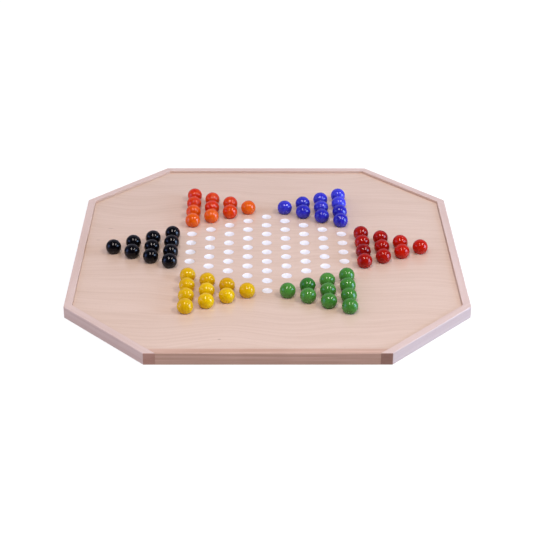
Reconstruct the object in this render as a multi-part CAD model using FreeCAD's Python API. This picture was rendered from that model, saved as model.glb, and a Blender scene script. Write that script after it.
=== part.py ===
import FreeCAD, Part
import math
import os

# A Chinese checkers board: an octagonal wood panel with 121 dimples, an edging of eight wood strips that
# stands proud of it, and sixty glass marbles, ten in each point of the star. Units are millimetres.
# The origin is the centre of the underside, +Z is up and +Y points to the back of the board.

# ---- driving dimensions ----
HOLE_PITCH = 20.0  # spacing of the dimples along a column, and of the columns themselves
MARBLE_DIAMETER = 16.0  # standard glass marble
BOARD_ACROSS = 397.0  # across the octagon, flat to flat, on both X and Y
CORNER_CUT = 83.1  # how far each 45 degree corner cut runs along X and along Y
PANEL_THICKNESS = 10.0
STRIP_WIDTH = 8.0
STRIP_HEIGHT = 12.7
OUTER_ARRIS = 1.0  # rounding of the strips' outer top edges
INNER_ARRIS = 0.6  # rounding of the strips' inner top edges
DIMPLE_BALL_RADIUS = 8.2  # radius of the ball cutter that makes a dimple
DIMPLE_DEPTH = 2.1
SEAT_GAP = 0.02  # clearance between a seated marble and the lowest point of its dimple

# ---- dimensions that follow ----
HALF_ACROSS = BOARD_ACROSS / 2
HALF_SIDE = HALF_ACROSS - CORNER_CUT  # half the length of a straight side
MARBLE_RADIUS = MARBLE_DIAMETER / 2
MARBLE_HEIGHT = PANEL_THICKNESS - DIMPLE_DEPTH + SEAT_GAP + MARBLE_RADIUS  # height of a seated centre
STRIP_END = STRIP_WIDTH * math.sqrt(2)  # width of a strip's end where it is cut at 45 degrees

# ---- the star ----
# The holes stand in columns. A column is numbered from the centre one and lies at x = column * HOLE_PITCH.
# A row number is counted in pitches along Y, and is a half number in the odd columns.
HEXAGON_REACH = 4  # holes from the board's centre to the edge of the centre hexagon
POINT_ROWS = 4  # rows of holes in each point of the star


def side_point(side):
    """The (column, row) places of the left (side -1) or right (side 1) point, row by row from its base."""
    rows = []
    for step in range(POINT_ROWS):
        column = side * (HEXAGON_REACH + 1 + step)
        count = POINT_ROWS - step
        rows.append([(column, place - (count - 1) / 2) for place in range(count)])
    return rows


def corner_point(side, end):
    """The (column, row) places of a front (end -1) or back (end 1) point, row by row from its base.

    The base lies along the edge of the centre hexagon, and each further row is one pitch further out."""
    rows = []
    for step in range(POINT_ROWS):
        columns = range(step + 1, HEXAGON_REACH + 1)
        first_row = HEXAGON_REACH + 1 + step
        rows.append([(side * column, end * (first_row - column / 2)) for column in columns])
    return rows


def hexagon_places():
    """The (column, row) places of the centre hexagon."""
    places = []
    for column in range(-HEXAGON_REACH, HEXAGON_REACH + 1):
        reach = HEXAGON_REACH - abs(column) / 2
        count = int(2 * reach) + 1
        places += [(column, place - reach) for place in range(count)]
    return places


POINTS = {
    "black": side_point(-1),
    "red": side_point(1),
    "orange": corner_point(-1, 1),
    "blue": corner_point(1, 1),
    "yellow": corner_point(-1, -1),
    "green": corner_point(1, -1),
}


def at(place, height):
    """The point over a (column, row) place."""
    column, row = place
    return FreeCAD.Vector(column * HOLE_PITCH, row * HOLE_PITCH, height)


def prism(outline, height):
    """A solid with the given (x, y) outline, from z = 0 up."""
    corners = [FreeCAD.Vector(x, y, 0) for x, y in outline]
    face = Part.Face(Part.makePolygon(corners + corners[:1]))
    return face.extrude(FreeCAD.Vector(0, 0, height))


def octagon(inset):
    """The board's outline moved in by inset on all eight sides."""
    across = HALF_ACROSS - inset
    side = HALF_SIDE - inset * (math.sqrt(2) - 1)
    return [
        (side, -across),
        (across, -side),
        (across, side),
        (side, across),
        (-side, across),
        (-across, side),
        (-across, -side),
        (-side, -across),
    ]


def make_panel():
    """The board panel with its 121 dimples."""
    places = hexagon_places()
    for rows in POINTS.values():
        for row in rows:
            places += row
    ball_height = PANEL_THICKNESS - DIMPLE_DEPTH + DIMPLE_BALL_RADIUS
    balls = [Part.makeSphere(DIMPLE_BALL_RADIUS, at(place, ball_height)) for place in places]
    return prism(octagon(STRIP_WIDTH), PANEL_THICKNESS).cut(balls)


def make_edging():
    """The whole ring of edging in one piece, with its top edges rounded."""
    ring = prism(octagon(0), STRIP_HEIGHT).cut(prism(octagon(STRIP_WIDTH), STRIP_HEIGHT))
    outer_edges = []
    inner_edges = []
    for edge in ring.Edges:
        box = edge.BoundBox
        if box.ZMin < STRIP_HEIGHT - 0.01:
            continue
        middle = edge.CenterOfMass
        reach = max(abs(middle.x), abs(middle.y), (abs(middle.x) + abs(middle.y)) / math.sqrt(2))
        on_outside = reach > HALF_ACROSS - STRIP_WIDTH / 2
        (outer_edges if on_outside else inner_edges).append(edge)
    return ring.makeFillet(OUTER_ARRIS, outer_edges).makeFillet(INNER_ARRIS, inner_edges)


def placed(outline, flip_x, flip_y):
    """An outline mirrored in X where flip_x is -1 and in Y where flip_y is -1."""
    return [(x * flip_x, y * flip_y) for x, y in outline]


def swapped(outline):
    """An outline with X and Y exchanged."""
    return [(y, x) for x, y in outline]


# The four straight strips butt between the corner strips, which run through to the straight faces of the
# board and show their ends there. Both outlines are those of the front right quarter of the board.
STRAIGHT_STRIP = [
    (-HALF_SIDE + STRIP_END, -HALF_ACROSS),
    (HALF_SIDE - STRIP_END, -HALF_ACROSS),
    (HALF_SIDE - STRIP_END + STRIP_WIDTH, -HALF_ACROSS + STRIP_WIDTH),
    (-HALF_SIDE + STRIP_END - STRIP_WIDTH, -HALF_ACROSS + STRIP_WIDTH),
]
CORNER_STRIP = [
    (HALF_SIDE - STRIP_END, -HALF_ACROSS),
    (HALF_SIDE, -HALF_ACROSS),
    (HALF_ACROSS, -HALF_SIDE),
    (HALF_ACROSS, -HALF_SIDE + STRIP_END),
]


def make_strips():
    """The edging strips by node name. The four corner strips are alike and share a node."""
    edging = make_edging()

    def cut(outline):
        return edging.common(prism(outline, STRIP_HEIGHT))

    corners = [cut(placed(CORNER_STRIP, flip_x, flip_y)) for flip_x in (1, -1) for flip_y in (1, -1)]
    return {
        "edge_strip_front": cut(STRAIGHT_STRIP),
        "edge_strip_back": cut(placed(STRAIGHT_STRIP, 1, -1)),
        "edge_strip_left": cut(swapped(STRAIGHT_STRIP)),
        "edge_strip_right": cut(placed(swapped(STRAIGHT_STRIP), -1, 1)),
        "edge_strips_corner": Part.makeCompound(corners),
    }


def make_marble(place):
    return Part.makeSphere(MARBLE_RADIUS, at(place, MARBLE_HEIGHT))


def make_marbles(colour):
    """One colour's marbles by node name.

    They are numbered row by row from the base of the point. The two of the third row share a node."""
    nodes = {}
    number = 0
    for row in POINTS[colour]:
        if len(row) == 2:
            nodes[f"marbles_{colour}_pair"] = Part.makeCompound([make_marble(place) for place in row])
            continue
        for place in row:
            number += 1
            nodes[f"marble_{colour}_{number}"] = make_marble(place)
    return nodes


def main():
    nodes = {"board_panel": make_panel()}
    nodes.update(make_strips())
    for colour in POINTS:
        nodes.update(make_marbles(colour))
    os.makedirs("parts", exist_ok=True)
    for name, shape in nodes.items():
        shape.exportStep(f"parts/{name}.step")


main()
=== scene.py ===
# The looks of a Chinese checkers board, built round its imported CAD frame. Lengths are in metres.
from collections import namedtuple
import math
import random

import bmesh
import bpy
from mathutils import Matrix, Vector, geometry, noise


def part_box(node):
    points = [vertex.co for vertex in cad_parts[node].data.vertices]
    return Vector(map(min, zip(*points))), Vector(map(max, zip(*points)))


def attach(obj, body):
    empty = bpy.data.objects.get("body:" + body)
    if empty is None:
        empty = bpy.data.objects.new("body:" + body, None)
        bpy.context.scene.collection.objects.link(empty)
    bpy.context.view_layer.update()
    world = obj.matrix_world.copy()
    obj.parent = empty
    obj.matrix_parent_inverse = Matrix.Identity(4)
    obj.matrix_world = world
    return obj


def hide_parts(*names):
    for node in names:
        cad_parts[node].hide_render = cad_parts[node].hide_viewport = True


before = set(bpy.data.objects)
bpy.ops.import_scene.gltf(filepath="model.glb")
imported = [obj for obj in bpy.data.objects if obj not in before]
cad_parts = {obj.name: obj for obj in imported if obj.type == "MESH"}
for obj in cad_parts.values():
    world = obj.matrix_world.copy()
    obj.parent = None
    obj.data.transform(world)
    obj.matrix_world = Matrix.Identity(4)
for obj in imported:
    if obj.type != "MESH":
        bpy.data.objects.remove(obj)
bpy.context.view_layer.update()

MM = 0.001
ROOT_TWO = math.sqrt(2)

# ---------------------------------------------------------------- sizes and places, from the frame

panel_low, panel_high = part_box("board_panel")
front_low, front_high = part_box("edge_strip_front")
right_low, right_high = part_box("edge_strip_right")
marble_low, marble_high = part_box("marble_black_1")
next_low, next_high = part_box("marble_black_2")

PANEL_TOP = panel_high.z
STRIP_TOP = right_high.z
INNER_HALF = panel_high.x  # from the board's centre to the panel's straight sides
INNER_SIDE = front_high.x  # half the length of the panel's straight sides
OUTER_HALF = right_high.x
STRIP_WIDTH = OUTER_HALF - INNER_HALF
OUTER_SIDE = INNER_SIDE + STRIP_WIDTH * (ROOT_TWO - 1)
STRIP_END = STRIP_WIDTH * ROOT_TWO  # width of a strip's end where it is cut at 45 degrees
MARBLE_RADIUS = (marble_high.z - marble_low.z) / 2
MARBLE_HEIGHT = (marble_high.z + marble_low.z) / 2
HOLE_PITCH = (next_low.y + next_high.y - marble_low.y - marble_high.y) / 2


def dimple_size():
    """(mouth radius, depth) of a dimple, read from the centre dimple of the CAD panel."""
    near = [
        vertex.co
        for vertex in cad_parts["board_panel"].data.vertices
        if vertex.co.xy.length < HOLE_PITCH / 2 and vertex.co.z > PANEL_TOP / 2
    ]
    return max(co.xy.length for co in near), PANEL_TOP - min(co.z for co in near)


MOUTH_RADIUS, DIMPLE_DEPTH = dimple_size()
BALL_RADIUS = (MOUTH_RADIUS**2 + DIMPLE_DEPTH**2) / (2 * DIMPLE_DEPTH)

# ---------------------------------------------------------------- the star

# The holes stand in columns. A place is given as a column number, counted from the centre one, and a row
# number, counted in pitches along Y. Row numbers are half numbers in the odd columns.
HEXAGON_REACH = 4  # holes from the centre to the edge of the centre hexagon
POINT_ROWS = 4  # rows of holes in each point of the star


def side_point(side):
    """The (column, row) places of the left (side -1) or right (side 1) point, row by row from its base."""
    rows = []
    for step in range(POINT_ROWS):
        column = side * (HEXAGON_REACH + 1 + step)
        count = POINT_ROWS - step
        rows.append([(column, place - (count - 1) / 2) for place in range(count)])
    return rows


def corner_point(side, end):
    """The (column, row) places of a front (end -1) or back (end 1) point, row by row from its base."""
    rows = []
    for step in range(POINT_ROWS):
        columns = range(step + 1, HEXAGON_REACH + 1)
        first_row = HEXAGON_REACH + 1 + step
        rows.append([(side * column, end * (first_row - column / 2)) for column in columns])
    return rows


def hexagon_places():
    """The (column, row) places of the centre hexagon."""
    places = []
    for column in range(-HEXAGON_REACH, HEXAGON_REACH + 1):
        reach = HEXAGON_REACH - abs(column) / 2
        places += [(column, place - reach) for place in range(int(2 * reach) + 1)]
    return places


POINTS = {
    "black": side_point(-1),
    "red": side_point(1),
    "orange": corner_point(-1, 1),
    "blue": corner_point(1, 1),
    "yellow": corner_point(-1, -1),
    "green": corner_point(1, -1),
}


def ground_point(place):
    """The (x, y) of a (column, row) place."""
    column, row = place
    return Vector((column * HOLE_PITCH, row * HOLE_PITCH))


# ---------------------------------------------------------------- a short way to write shader nodes


class Shader:
    """A material, or the world, under construction. Each method adds a node and returns its output."""

    def __init__(self, owner):
        owner.use_nodes = True
        self.owner = owner
        self.tree = owner.node_tree

    def add(self, kind, inputs=None, **settings):
        """A node with its settings and inputs given. An input is a number, a colour or another output."""
        node = self.tree.nodes.new(kind)
        for name, value in settings.items():
            setattr(node, name, value)
        for name, value in (inputs or {}).items():
            self.set(node, name, value)
        return node

    def set(self, node, name, value):
        if isinstance(value, bpy.types.NodeSocket):
            self.tree.links.new(value, node.inputs[name])
        else:
            node.inputs[name].default_value = value

    def place(self):
        """The point on the piece, in metres, in the row frame."""
        return self.add("ShaderNodeTexCoord").outputs["Object"]

    def attribute(self, name, output="Fac"):
        return self.add("ShaderNodeAttribute", attribute_name=name).outputs[output]

    def math(self, operation, a, b=0.0, clamp=False):
        node = self.add("ShaderNodeMath", operation=operation, use_clamp=clamp)
        self.set(node, 0, a)
        self.set(node, 1, b)
        return node.outputs[0]

    def split(self, vector):
        return self.add("ShaderNodeSeparateXYZ", {"Vector": vector}).outputs

    def join(self, x, y, z):
        return self.add("ShaderNodeCombineXYZ", {"X": x, "Y": y, "Z": z}).outputs[0]

    def stretched(self, *coordinates):
        """A point made of three coordinates, each given as itself or as a value and its scale."""
        scaled = [self.math("MULTIPLY", *each) if isinstance(each, tuple) else each for each in coordinates]
        return self.join(*scaled)

    def squared_length(self, x, y):
        return self.math("ADD", self.math("MULTIPLY", x, x), self.math("MULTIPLY", y, y))

    def turned(self, vector, angle):
        node = self.add("ShaderNodeVectorRotate", {"Vector": vector, "Angle": angle}, rotation_type="Z_AXIS")
        return node.outputs[0]

    def noise(self, vector, scale=1.0, detail=2.0, roughness=0.5, distortion=0.0):
        inputs = {"Vector": vector, "Scale": scale, "Detail": detail, "Roughness": roughness}
        inputs["Distortion"] = distortion
        return self.add("ShaderNodeTexNoise", inputs).outputs["Fac"]

    def remap(self, value, low, high, to_low=0.0, to_high=1.0):
        """value taken from low..high to to_low..to_high, smoothly and without leaving them."""
        inputs = {"Value": value, "From Min": low, "From Max": high, "To Min": to_low, "To Max": to_high}
        return self.add("ShaderNodeMapRange", inputs, interpolation_type="SMOOTHSTEP").outputs[0]

    def mix(self, factor, a, b, blend="MIX"):
        node = self.add("ShaderNodeMix", data_type="RGBA", blend_type=blend)
        for socket, value in ((0, factor), (6, a), (7, b)):
            self.set(node, socket, value)
        return node.outputs[2]

    def bump(self, height, distance, strength=1.0):
        inputs = {"Height": height, "Distance": distance, "Strength": strength}
        return self.add("ShaderNodeBump", inputs).outputs["Normal"]

    def finish(self, **inputs):
        """Sets inputs of the surface shader, by their names with _ for each space, and returns the owner."""
        surface = self.tree.nodes.get("Principled BSDF") or self.tree.nodes["Background"]
        for name, value in inputs.items():
            self.set(surface, name.replace("_", " "), value)
        return self.owner


def new_material(name):
    return Shader(bpy.data.materials.new(name))


def colour(red, green, blue):
    return (red, green, blue, 1.0)


# ---------------------------------------------------------------- wood

PLAIN = colour(1.0, 1.0, 1.0)
PORE = colour(0.42, 0.27, 0.20)
PORE_STRENGTH = 0.30
WOOD_RELIEF = 0.03 * MM  # depth of the grain
WOOD_SHEEN = 0.27  # specular level of the wood itself
PANEL_LACQUER = 1.0  # share of clear lacquer on the panel
EDGING_LACQUER = 0.0
LACQUER_ROUGHNESS = 0.20
LACQUER_IOR = 1.5

VENEER_PALE = colour(0.805, 0.615, 0.475)
VENEER_DARK = colour(0.69, 0.495, 0.354)
FIGURE_CENTRE = (0.035, 0.215)  # the veneer's grain runs in long flat ovals round this point
FIGURE_STRETCH = 0.20  # the ovals are this much narrower across the grain than along it
FIGURE_SWAY = 0.07  # how far the ovals wander across the grain
MINERAL_FLECKS = (  # x, y, half length and half width of the small dark marks in the veneer
    (-0.0456, -0.1705, 2.0 * MM, 1.2 * MM),
    (-0.1680, 0.0520, 4.0 * MM, 0.8 * MM),
    (-0.1790, 0.0260, 3.0 * MM, 0.7 * MM),
)

FAIR_BEECH = (colour(0.76, 0.60, 0.52), colour(0.66, 0.49, 0.41))  # pale and dark shade
RUDDY_BEECH = (colour(0.715, 0.483, 0.360), colour(0.500, 0.298, 0.210))
END_GRAIN = colour(0.60, 0.46, 0.41)  # tints over the wood's own shades
PALE_END_GRAIN = colour(0.72, 0.53, 0.465)
DARK_END_GRAIN = colour(0.50, 0.36, 0.30)
INNER_WALL_PAINTED_SHADE = colour(0.93, 0.86, 0.76)  # painted shade on the low walls that face the panel, standing in for the shadow between them and the panel


def wood_pores(shader, along, across, depth):
    """The short dark flecks of beech, 1 where one lies and 0 between them."""
    spot = shader.stretched((along, 260.0), (across, 2600.0), (depth, 2600.0))
    return shader.remap(shader.noise(spot, detail=1.0), 0.66, 0.74)


def finish_wood(shader, shade, pores, fibres, fibre_height, bands, lacquer):
    """Lays the pores, the relief of the grain and a share of clear lacquer over a shade of wood."""
    height = shader.math("SUBTRACT", shader.math("MULTIPLY", fibres, fibre_height), pores)
    return shader.finish(
        Base_Color=shader.mix(shader.math("MULTIPLY", pores, PORE_STRENGTH), shade, PORE),
        Roughness=shader.math("ADD", 0.43, shader.math("MULTIPLY", bands, 0.14)),
        Specular_IOR_Level=WOOD_SHEEN,
        Coat_Weight=lacquer,
        Coat_Roughness=LACQUER_ROUGHNESS,
        Coat_IOR=LACQUER_IOR,
        Normal=shader.bump(height, WOOD_RELIEF, 0.6),
    )


def veneer_material():
    """Pale sliced veneer with its grain along X, which curves up towards the back right."""
    shader = new_material("beech_veneer")
    x, y, z = shader.split(shader.place())
    sway = shader.noise(shader.join(x, y, 0.0), 6.0, detail=1.0)
    sway = shader.math("MULTIPLY", shader.math("SUBTRACT", sway, 0.5), FIGURE_SWAY)
    oval_x = shader.math("MULTIPLY", shader.math("SUBTRACT", x, FIGURE_CENTRE[0]), FIGURE_STRETCH)
    oval_y = shader.math("SUBTRACT", shader.math("ADD", y, sway), FIGURE_CENTRE[1])
    ring = shader.math("SQRT", shader.squared_length(oval_x, oval_y))
    bands = shader.noise(shader.stretched((x, 4.0), (ring, 60.0), 0.0))
    lines = shader.noise(shader.stretched((x, 11.0), (ring, 330.0), 3.0))
    streaks = shader.noise(shader.stretched((x, 30.0), (ring, 520.0), 5.0))
    fibres = shader.noise(shader.stretched((x, 60.0), (ring, 1700.0), 7.0))
    tone = shader.remap(bands, 0.30, 0.70, 0.0, 0.26)
    tone = shader.math("ADD", tone, shader.remap(lines, 0.34, 0.68, 0.0, 0.34))
    tone = shader.math("ADD", tone, shader.remap(streaks, 0.55, 0.75, 0.0, 0.22))
    tone = shader.math("ADD", tone, shader.math("MULTIPLY", fibres, 0.25))
    shade = shader.mix(tone, VENEER_PALE, VENEER_DARK)
    for fleck_x, fleck_y, length, width in MINERAL_FLECKS:
        along = shader.math("DIVIDE", shader.math("SUBTRACT", x, fleck_x), length)
        across = shader.math("DIVIDE", shader.math("SUBTRACT", y, fleck_y), width)
        fleck = shader.remap(shader.squared_length(along, across), 1.0, 0.2, 0.0, 0.55)
        shade = shader.mix(fleck, shade, PORE)
    pores = wood_pores(shader, x, y, z)
    return finish_wood(shader, shade, pores, fibres, 0.5, lines, PANEL_LACQUER)


def strip_material(name, angle, seed, wood, tint):
    """Solid beech with its grain turned by angle from X, in the pale and dark shades of wood, under a tint,
    which is the end grain's own colour on the ends and painted shade on the inner walls.
    """
    shader = new_material(name)
    along, across, up = shader.split(shader.turned(shader.place(), -angle))
    along_band = shader.math("ADD", shader.math("MULTIPLY", along, 7.0), seed)
    bands = shader.noise(shader.stretched(along_band, (across, 170.0), (up, 420.0)))
    fibres = shader.noise(shader.stretched((along, 40.0), (across, 1100.0), (up, 1100.0)))
    drift = shader.noise(shader.join(along, seed, 0.0), 22.0)
    tone = shader.remap(bands, 0.30, 0.70, 0.0, 0.55)
    tone = shader.math("ADD", tone, shader.math("MULTIPLY", fibres, 0.25))
    tone = shader.math("ADD", tone, shader.math("MULTIPLY", shader.math("SUBTRACT", drift, 0.5), 0.6))
    pale, dark = wood
    shade = shader.mix(shader.math("MAXIMUM", tone, 0.0), pale, dark)
    # the tint darkens the inner walls with painted shade, and the ends with their end grain's own colour
    shade = shader.mix(1.0, shade, tint, blend="MULTIPLY")
    pores = wood_pores(shader, along, across, up)
    return finish_wood(shader, shade, pores, fibres, 0.6, bands, EDGING_LACQUER)


# ---------------------------------------------------------------- paint and glass

WHITE_PAINT = colour(0.90, 0.90, 0.93)
DIMPLE_PAINT = {  # in the home dimples of each colour
    "black": colour(0.012, 0.012, 0.014),
    "red": colour(0.45, 0.012, 0.010),
    "orange": colour(0.80, 0.12, 0.012),
    "blue": colour(0.035, 0.045, 0.50),
    "yellow": colour(0.80, 0.52, 0.010),
    "green": colour(0.025, 0.22, 0.040),
}

Glass = namedtuple("Glass", "shades shine deep light wisp")
GLASS = {  # each marble's shade, row by row, then the specular level, deep and light shade, and pale wisps
    "black": Glass(
        "mmmm mmm mm m",
        0.21,
        colour(0.001, 0.0008, 0.0015),
        colour(0.0035, 0.003, 0.005),
        colour(0.008, 0.007, 0.012),
    ),
    "red": Glass(
        "mdmm mmm ll l",
        0.25,
        colour(0.18, 0.001, 0.002),
        colour(0.55, 0.010, 0.001),
        colour(0.64, 0.040, 0.008),
    ),
    "orange": Glass(
        "ldll ddm dd d",
        0.32,
        colour(0.63, 0.014, 0.0003),
        colour(0.80, 0.130, 0.003),
        colour(0.87, 0.23, 0.020),
    ),
    "blue": Glass(
        "mddd dmd ml l",
        0.37,
        colour(0.013, 0.010, 0.34),
        colour(0.056, 0.059, 0.69),
        colour(0.11, 0.12, 0.78),
    ),
    "yellow": Glass(
        "mdmm llm lm m",
        0.24,
        colour(0.63, 0.330, 0.0003),
        colour(0.80, 0.52, 0.0008),
        colour(0.84, 0.58, 0.006),
    ),
    "green": Glass(
        "ldlm lmm mm m",
        0.31,
        colour(0.030, 0.166, 0.016),
        colour(0.077, 0.275, 0.038),
        colour(0.13, 0.38, 0.080),
    ),
}
SHADE_TONES = {"d": 0.2, "m": 0.5, "l": 0.8}  # a deep, a middle and a light marble, from deep 0 to light 1
TONE_SPREAD = 0.08  # marbles of one shade differ by up to this much from it


def paint_material(name, paint):
    """Brushed-in lacquer paint, with a little of the wood's grain printing through it."""
    shader = new_material(name)
    x, y, z = shader.split(shader.place())
    grain = shader.noise(shader.stretched((x, 60.0), (y, 900.0), z))
    pooled = shader.noise(shader.place(), 420.0)
    pooled_paint = colour(*[channel * 0.90 for channel in paint[:3]])
    height = shader.math("ADD", shader.math("MULTIPLY", grain, 0.5), pooled)
    return shader.finish(
        Base_Color=shader.mix(shader.remap(pooled, 0.35, 0.70, 0.0, 0.6), paint, pooled_paint),
        Roughness=shader.remap(pooled, 0.30, 0.70, 0.28, 0.42),
        Specular_IOR_Level=0.5,
        Normal=shader.bump(height, 0.04 * MM, 0.5),
    )


def glass_material(name, glass):
    """Opaque coloured glass: streaks of two shades drawn out along the gather, and a few paler wisps."""
    shader = new_material(name)
    spot = shader.attribute("gather", "Vector")
    x, y, z = shader.split(spot)
    drawn = shader.stretched(x, y, (z, 0.35))
    streaks = shader.noise(drawn, 1.6, detail=3.0, roughness=0.55, distortion=1.2)
    wisps = shader.noise(drawn, 3.2, detail=4.0, roughness=0.6, distortion=2.4)
    streaks = shader.remap(streaks, 0.35, 0.65, -0.15, 0.15)
    tone = shader.math("ADD", streaks, shader.attribute("tone"), clamp=True)
    shade = shader.mix(tone, glass.deep, glass.light)
    scuffs = shader.noise(spot, 9.0, detail=4.0, roughness=0.6)
    return shader.finish(
        Base_Color=shader.mix(shader.remap(wisps, 0.62, 0.75, 0.0, 0.25), shade, glass.wisp),
        Roughness=shader.remap(scuffs, 0.50, 0.75, 0.13, 0.18),
        IOR=1.52,
        Specular_IOR_Level=glass.shine,
        Normal=shader.bump(scuffs, 0.001 * MM, 0.15),
    )


# ---------------------------------------------------------------- mesh helpers


def new_piece(name, mesh_builder, body, slot, *nodes):
    """Makes a piece from a bmesh. It rides on body and stands for the given CAD nodes; the slot it is given
    is not used.
    """
    mesh = bpy.data.meshes.new(name)
    mesh_builder.normal_update()
    mesh_builder.to_mesh(mesh)
    mesh_builder.free()
    piece = bpy.data.objects.new(name, mesh)
    bpy.context.scene.collection.objects.link(piece)
    for polygon in mesh.polygons:
        polygon.use_smooth = True
    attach(piece, body)
    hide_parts(*nodes)
    return piece


def with_modifiers_applied(piece):
    """Puts the mesh that the piece's modifiers make in place of its own."""
    evaluated = piece.evaluated_get(bpy.context.evaluated_depsgraph_get())
    piece.data = bpy.data.meshes.new_from_object(evaluated)
    piece.modifiers.clear()


def octagon(half, side):
    """The corners of an octagon by half its width and half its straight sides' length, front left first."""
    return [
        Vector((-side, -half)),
        Vector((side, -half)),
        Vector((half, -side)),
        Vector((half, side)),
        Vector((side, half)),
        Vector((-side, half)),
        Vector((-half, side)),
        Vector((-half, -side)),
    ]


# ---------------------------------------------------------------- the panel

GLUE_GAP = 0.05 * MM  # between the panel and the edging
PANEL_EASE = 0.30 * MM  # the panel's top edge is broken by this much
RING_SIDES = 40
LIP_REACH = 0.5 * MM  # the rounding of a dimple's mouth ends this far outside it
LIP_SOFTNESS = 0.09 * MM
RING_SHARES = (1.04, 1.015, 0.99, 0.95, 0.9, 0.8, 0.66, 0.5, 0.32, 0.15)  # of the mouth's radius
PAINT_REACH = 0.95  # the paint stops just short of the mouth
WHOLE_OUTLINE = 1  # tells the triangulation to keep what lies inside the outline
MERGE_WITHIN = 1e-5  # millimetres


def dimple_depth_at(radius):
    """Depth below the panel's top at this distance from a dimple's axis, with a softened mouth."""
    ball = math.sqrt(BALL_RADIUS**2 - radius**2) - (BALL_RADIUS - DIMPLE_DEPTH)
    return (ball + math.sqrt(ball**2 + LIP_SOFTNESS**2)) / 2


def ring_points(centre, radius):
    return [
        centre + Vector((math.cos(turn), math.sin(turn))) * radius
        for turn in (2 * math.pi * step / RING_SIDES for step in range(RING_SIDES))
    ]


def flat_top(outline, centres, radius):
    """Triangles that fill the outline round the circles, as (points, triangles, rings of point numbers)."""
    points = list(outline)
    edges = [(i, (i + 1) % len(outline)) for i in range(len(outline))]
    rings = []
    for centre in centres:
        first = len(points)
        points += ring_points(centre, radius)
        ring = list(range(first, first + RING_SIDES))
        edges += list(zip(ring, ring[1:] + ring[:1]))
        rings.append(ring)
    in_mm = [point / MM for point in points]
    found = geometry.delaunay_2d_cdt(in_mm, edges, [], WHOLE_OUTLINE, MERGE_WITHIN)
    made_points = [point * MM for point in found[0]]
    made_faces, sources = found[2], found[3]
    number_of = {source: number for number, group in enumerate(sources) for source in group}
    grid = {(round(c.x / HOLE_PITCH * 2), round(c.y / HOLE_PITCH * 2)) for c in centres}
    kept = []
    for face in made_faces:  # those that don't lie in a circle
        middle = sum((made_points[i] for i in face), Vector((0, 0))) / len(face)
        cell = middle / HOLE_PITCH * 2
        column = round(cell.x / 2) * 2
        near = [(column, row) for row in (math.floor(cell.y), math.ceil(cell.y)) if (column, row) in grid]
        if any((middle - Vector(place) * HOLE_PITCH / 2).length < radius for place in near):
            continue
        kept.append(face)
    return made_points, kept, [[number_of[i] for i in ring] for ring in rings]


def make_panel():
    """The veneered panel. Its material slots are the veneer, the white paint and each colour's paint."""
    dimples = [(place, 1) for place in hexagon_places()]
    for index, rows in enumerate(POINTS.values()):
        dimples += [(place, 2 + index) for row in rows for place in row]
    centres = [ground_point(place) for place, _ in dimples]
    half = INNER_HALF - GLUE_GAP
    side = INNER_SIDE - GLUE_GAP * (ROOT_TWO - 1)
    inset = octagon(half - PANEL_EASE, side - PANEL_EASE * (ROOT_TWO - 1))
    points, faces, rings = flat_top(inset, centres, MOUTH_RADIUS + LIP_REACH)
    build = bmesh.new()
    top = [build.verts.new((point.x, point.y, PANEL_TOP)) for point in points]
    for face in faces:
        build.faces.new([top[i] for i in face])
    for (place, paint), centre, ring in zip(dimples, centres, rings):
        outer = [top[i] for i in ring]
        for share in RING_SHARES:
            radius = MOUTH_RADIUS * share
            height = PANEL_TOP - dimple_depth_at(radius)
            inner = [build.verts.new((point.x, point.y, height)) for point in ring_points(centre, radius)]
            for i in range(RING_SIDES):
                j = (i + 1) % RING_SIDES
                face = build.faces.new((outer[i], outer[j], inner[j], inner[i]))
                face.material_index = paint if share < PAINT_REACH else 0
            outer = inner
        bottom = build.verts.new((centre.x, centre.y, PANEL_TOP - dimple_depth_at(0.0)))
        for i in range(RING_SIDES):
            face = build.faces.new((outer[i], outer[(i + 1) % RING_SIDES], bottom))
            face.material_index = paint
    rim = top[:8]
    for height in (PANEL_TOP - PANEL_EASE, 0.0):
        lower = [build.verts.new((point.x, point.y, height)) for point in octagon(half, side)]
        for i in range(8):
            build.faces.new((rim[(i + 1) % 8], rim[i], lower[i], lower[(i + 1) % 8]))
        rim = lower
    build.faces.new(rim[::-1])
    bmesh.ops.recalc_face_normals(build, faces=build.faces)
    piece = new_piece("veneered_panel", build, "board", "panel_wood", "board_panel")
    piece.data.set_sharp_from_angle(angle=math.radians(35))
    piece.data.materials.append(veneer_material())
    piece.data.materials.append(paint_material("white_paint", WHITE_PAINT))
    for name in POINTS:
        piece.data.materials.append(paint_material(name + "_paint", DIMPLE_PAINT[name]))


# ---------------------------------------------------------------- the edging

ARRIS = 1.0 * MM  # rounding of the outer top edges, and the width that bevel weights are shares of
OUTSIDE_TOP, INSIDE_TOP, JOINT_TOP, OUTER_CORNER, UNDERSIDE = 1.0, 0.6, 0.14, 0.5, 0.3

# The outlines of the front strip and of the front right corner strip. Each side is given as the corner
# where it starts, anticlockwise, and its kind. The corner strips show their ends on the straight sides.
STRAIGHT_STRIP = (
    ((-OUTER_SIDE + STRIP_END, -OUTER_HALF), "outside"),
    ((OUTER_SIDE - STRIP_END, -OUTER_HALF), "joint"),
    ((INNER_SIDE, -INNER_HALF), "inside"),
    ((-INNER_SIDE, -INNER_HALF), "joint"),
)
CORNER_STRIP = (
    ((OUTER_SIDE - STRIP_END, -OUTER_HALF), "end"),
    ((OUTER_SIDE, -OUTER_HALF), "outside"),
    ((OUTER_HALF, -OUTER_SIDE), "end"),
    ((OUTER_HALF, -OUTER_SIDE + STRIP_END), "joint"),
    ((INNER_HALF, -INNER_SIDE), "inside"),
    ((INNER_SIDE, -INNER_HALF), "joint"),
)
ON_SHOW = ("outside", "end")
SLOTS = ("plain", "end", "inside")  # the finishes of a strip's faces, in the order of its material slots; the inside one carries painted shade
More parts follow.
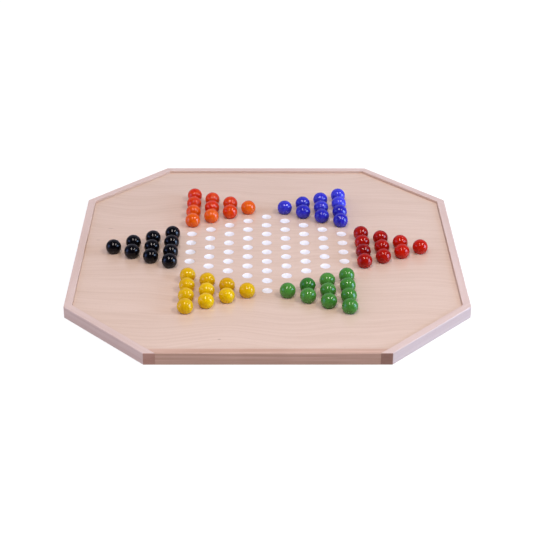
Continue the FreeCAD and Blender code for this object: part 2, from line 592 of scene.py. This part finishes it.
TOP_WEIGHT = {"outside": OUTSIDE_TOP, "end": OUTSIDE_TOP, "inside": INSIDE_TOP, "joint": JOINT_TOP}
QUARTER_TURN = math.pi / 2


def make_strip(name, node, outline, quarter, grain, seed, wood, end_grain=END_GRAIN):
    """One edging strip. Its outline and the angle of its grain are turned by a number of quarter turns."""
    turn = Matrix.Rotation(quarter * QUARTER_TURN, 2)
    corners = [turn @ Vector(corner) for corner, _ in outline]
    kinds = [kind for _, kind in outline]
    build = bmesh.new()
    weight = build.edges.layers.float.new("bevel_weight_edge")
    low = [build.verts.new((x, y, 0.0)) for x, y in corners]
    high = [build.verts.new((x, y, STRIP_TOP)) for x, y in corners]
    build.faces.new(low)
    build.faces.new(high)
    for i, kind in enumerate(kinds):
        j = (i + 1) % len(kinds)
        face = build.faces.new((low[i], low[j], high[j], high[i]))
        face.material_index = SLOTS.index(kind) if kind in SLOTS else 0
        build.edges.get((high[i], high[j]))[weight] = TOP_WEIGHT[kind]
        build.edges.get((low[i], low[j]))[weight] = UNDERSIDE if kind in ON_SHOW else 0.0
        is_outer_corner = kind in ON_SHOW and kinds[i - 1] in ON_SHOW
        build.edges.get((low[i], high[i]))[weight] = OUTER_CORNER if is_outer_corner else JOINT_TOP
    bmesh.ops.recalc_face_normals(build, faces=build.faces)
    piece = new_piece(name, build, "board", "edging_wood", node)
    angle = grain + quarter * QUARTER_TURN
    # the inside walls get painted shade, standing in for their shadow; the ends get the end grain's tint
    for finish, tint in zip(SLOTS, (PLAIN, end_grain, INNER_WALL_PAINTED_SHADE)):
        piece.data.materials.append(strip_material(f"{name}_{finish}_beech", angle, seed, wood, tint))
    bevel = piece.modifiers.new("arrises", "BEVEL")
    bevel.limit_method = "WEIGHT"
    bevel.width = ARRIS
    bevel.segments = 4
    bevel.use_clamp_overlap = False
    bevel.harden_normals = True
    with_modifiers_applied(piece)


CORNERS = (  # in quarter turns from the front right
    ("front_right", DARK_END_GRAIN),
    ("back_right", END_GRAIN),
    ("back_left", END_GRAIN),
    ("front_left", PALE_END_GRAIN),
)


def make_edging():
    """The eight strips, each from its own stick of beech."""
    make_strip("front_strip", "edge_strip_front", STRAIGHT_STRIP, 0, 0.0, 5.3, RUDDY_BEECH)
    make_strip("right_strip", "edge_strip_right", STRAIGHT_STRIP, 1, 0.0, 17.0, FAIR_BEECH)
    make_strip("back_strip", "edge_strip_back", STRAIGHT_STRIP, 2, 0.0, 11.0, FAIR_BEECH)
    make_strip("left_strip", "edge_strip_left", STRAIGHT_STRIP, 3, 0.0, 23.0, FAIR_BEECH)
    for quarter, (name, end_grain) in enumerate(CORNERS):
        seed = 29.0 + 7.0 * quarter
        node = "edge_strips_corner"
        make_strip(name + "_strip", node, CORNER_STRIP, quarter, math.pi / 4, seed, FAIR_BEECH, end_grain)


# ---------------------------------------------------------------- the marbles

MARBLE_CUTS = 16  # faces along each edge of the cube that a marble is blown from
WOBBLE = 0.03 * MM  # how far a marble is out of round


def marble_mesh(centre, turn, offset):
    """A slightly out-of-round marble, with its place in the glass gather stored at each point."""
    build = bmesh.new()
    bmesh.ops.create_cube(build, size=2.0)
    bmesh.ops.subdivide_edges(build, edges=build.edges, cuts=MARBLE_CUTS - 1, use_grid_fill=True)
    gather = build.verts.layers.float_vector.new("gather")
    for vertex in build.verts:
        direction = Vector([math.tan(value * math.pi / 4) for value in vertex.co]).normalized()
        swell = (noise.noise(direction * 1.3 + offset) - 1) * WOBBLE / 2
        vertex.co = centre + direction * (MARBLE_RADIUS + swell)
        vertex[gather] = turn @ direction + offset
    return build


def make_marble(name, node, colour_name, place, material, tone, chance):
    """One marble. It gets its own turn of the glass, and its shade is near the given tone."""
    turn = Matrix.Rotation(chance.uniform(0, 2 * math.pi), 3, "Z")
    turn = turn @ Matrix.Rotation(chance.uniform(0, math.pi), 3, "X")
    offset = Vector([chance.uniform(-40, 40) for _ in range(3)])
    tone += chance.uniform(-TONE_SPREAD, TONE_SPREAD)
    centre = Vector((*ground_point(place), MARBLE_HEIGHT))
    piece = new_piece(name, marble_mesh(centre, turn, offset), node, colour_name + "_glass", node)
    mesh = piece.data
    normals = [(vertex.co - centre).normalized() for vertex in mesh.vertices]
    mesh.normals_split_custom_set_from_vertices(normals)
    tones = mesh.attributes.new("tone", "FLOAT", "POINT")
    tones.data.foreach_set("value", [tone] * len(mesh.vertices))
    mesh.materials.append(material)


def make_marbles(colour_name, glass):
    """A colour's ten marbles, row by row. The two of the third row ride on one body."""
    material = glass_material(colour_name + "_glass", glass)
    chance = random.Random(colour_name)
    number = 0
    for row, shades in zip(POINTS[colour_name], glass.shades.split()):
        for letter, place, shade in zip("abcd", row, shades):
            if len(row) == 2:
                name = f"{colour_name}_marble_pair_{letter}"
                node = f"marbles_{colour_name}_pair"
            else:
                number += 1
                name = f"{colour_name}_marble_{number}"
                node = f"marble_{colour_name}_{number}"
            make_marble(name, node, colour_name, place, material, SHADE_TONES[shade], chance)


# ---------------------------------------------------------------- floor, light and camera

FLOOR_HALF = 6.0
FLOOR_GAP = 0.2 * MM  # between the floor and the board's underside
FLOOR_PAPER = (colour(0.22, 0.225, 0.22), colour(0.24, 0.245, 0.24))
FLOOR_GLOW = 0.85  # the paper looks evenly white, as if it were lit from behind
FLOOR_BOUNCE = colour(0.43, 0.385, 0.365)  # its shade as the board's edge sees it


def make_floor():
    """A plain pale floor, which isn't part of the object."""
    build = bmesh.new()
    bmesh.ops.create_grid(build, x_segments=1, y_segments=1, size=FLOOR_HALF)
    mesh = bpy.data.meshes.new("floor")
    build.to_mesh(mesh)
    build.free()
    floor = bpy.data.objects.new("floor", mesh)
    floor.location.z = -FLOOR_GAP
    bpy.context.scene.collection.objects.link(floor)
    shader = new_material("floor_paper")
    paper = shader.mix(shader.noise(shader.place(), 3.0), *FLOOR_PAPER)
    seen = shader.add("ShaderNodeLightPath").outputs["Is Camera Ray"]
    material = shader.finish(
        Base_Color=shader.mix(seen, FLOOR_BOUNCE, paper),
        Roughness=0.9,
        Specular_IOR_Level=0.1,
        Emission_Color=PLAIN,
        Emission_Strength=shader.math("MULTIPLY", seen, FLOOR_GLOW),
    )
    mesh.materials.append(material)


def make_lamp(name, direction, distance, upright, width, height, power, tint):
    """A soft box that stands off the board's centre in a direction, and faces it.

    Its height side lies as near as it can to the upright direction."""
    lamp = bpy.data.lights.new(name, "AREA")
    lamp.shape = "RECTANGLE"
    lamp.size = width
    lamp.size_y = height
    lamp.energy = power
    lamp.color = tint
    holder = bpy.data.objects.new(name, lamp)
    away = Vector(direction).normalized()
    across = Vector(upright).cross(away).normalized()
    turn = Matrix((across, away.cross(across), away)).transposed()
    holder.matrix_world = Matrix.Translation(away * distance) @ turn.to_4x4()
    bpy.context.scene.collection.objects.link(holder)
    return holder


AMBIENT = colour(0.28, 0.243, 0.240)  # what lights the board
AMBIENT_LEFT = colour(1.43, 1.53, 2.12)
MIRRORED_AROUND = colour(0.03, 0.03, 0.04)  # what its gloss mirrors
MIRRORED_BEHIND = colour(0.50, 0.50, 0.62)
MIRRORED_LEFT = colour(0.16, 0.20, 0.36)
BACKDROP = colour(0.95, 0.95, 0.955)  # what the camera sees


def make_world():
    """Pale surroundings that light the board softly, most from the left.

    Glass and lacquer mirror them darker than they light, save at the back."""
    shader = Shader(bpy.data.worlds.new("studio"))
    path = shader.add("ShaderNodeLightPath").outputs
    way = shader.split(shader.add("ShaderNodeTexCoord").outputs["Generated"])
    left = shader.remap(way["X"], -0.4, -0.95)
    lighting = shader.mix(left, AMBIENT, AMBIENT_LEFT)
    mirrored = shader.mix(shader.remap(way["Y"], 0.20, 0.65), MIRRORED_AROUND, MIRRORED_BEHIND)
    mirrored = shader.mix(left, mirrored, MIRRORED_LEFT)
    around = shader.mix(path["Is Glossy Ray"], lighting, mirrored)
    seen = shader.mix(path["Is Camera Ray"], around, BACKDROP)
    world = shader.finish(Color=seen)
    world.cycles.sampling_method = "NONE"  # all light samples go to the lamps, which keeps the glints sharp
    bpy.context.scene.world = world


ALONG_Y = (0.0, 1.0, 0.0)
UP = (0.0, 0.0, 1.0)
TOP_LEFT = (-0.132, -0.338, 0.926)  # directions from the board's centre
TOP_RIGHT = (0.537, -0.212, 0.816)
RIGHT = (0.940, -0.215, 0.25)
LEFT = (-0.955, -0.171, 0.241)
LAMPS = (  # name, direction, distance, upright, width, height, power and tint
    ("top_left_box", TOP_LEFT, 2.3, ALONG_Y, 0.22, 1.2, 17.3, (1.0, 0.897, 0.865)),
    ("top_right_box", TOP_RIGHT, 2.3, ALONG_Y, 0.22, 1.2, 15.7, (0.98, 0.905, 0.885)),
    ("right_window", RIGHT, 1.8, UP, 0.9, 1.0, 33.0, (0.43, 0.63, 1.0)),
)
GLINTS = (  # lamps that are only mirrored and light nothing, and hang clear of the lamps above
    ("top_left_glint", TOP_LEFT, 2.2, ALONG_Y, 0.20, 1.15, 16.0, (1.0, 0.897, 0.865)),
    ("top_right_glint", TOP_RIGHT, 2.2, ALONG_Y, 0.20, 1.15, 15.0, (0.98, 0.905, 0.885)),
    ("right_glint", RIGHT, 1.7, UP, 0.85, 0.95, 9.0, (0.43, 0.63, 1.0)),
    ("left_glint", LEFT, 1.8, UP, 0.8, 1.0, 10.0, (0.27, 0.42, 1.0)),
)


def make_lights():
    make_world()
    for lamp in LAMPS:
        make_lamp(*lamp)
    for lamp in GLINTS:
        make_lamp(*lamp).visible_diffuse = False


# The camera looks down on the board from the front, a touch left of its middle.
CAMERA_PLACE = Vector((-0.0085, -1.2672, PANEL_TOP + 0.6970))
CAMERA_DOWN = 0.5135  # radians below the horizon
CAMERA_RIGHT = 0.0064  # radians turned to the right
CAMERA_ROLL = 0.0033
CAMERA_LENS = 93.37  # millimetres, on a 36 mm sensor


def make_camera():
    data = bpy.data.cameras.new("camera")
    data.lens = CAMERA_LENS
    data.sensor_width = 36.0
    data.clip_start = 0.05
    data.clip_end = 50.0
    camera = bpy.data.objects.new("camera", data)
    turn = Matrix.Rotation(-CAMERA_RIGHT, 4, "Z") @ Matrix.Rotation(math.pi / 2 - CAMERA_DOWN, 4, "X")
    turn = turn @ Matrix.Rotation(CAMERA_ROLL, 4, "Z")
    camera.matrix_world = Matrix.Translation(CAMERA_PLACE) @ turn
    bpy.context.scene.collection.objects.link(camera)
    bpy.context.scene.camera = camera
    bpy.context.scene.view_settings.view_transform = "Standard"


# ---------------------------------------------------------------- everything together

make_panel()
make_edging()
for colour_name, glass in GLASS.items():
    make_marbles(colour_name, glass)
make_floor()
make_lights()
make_camera()
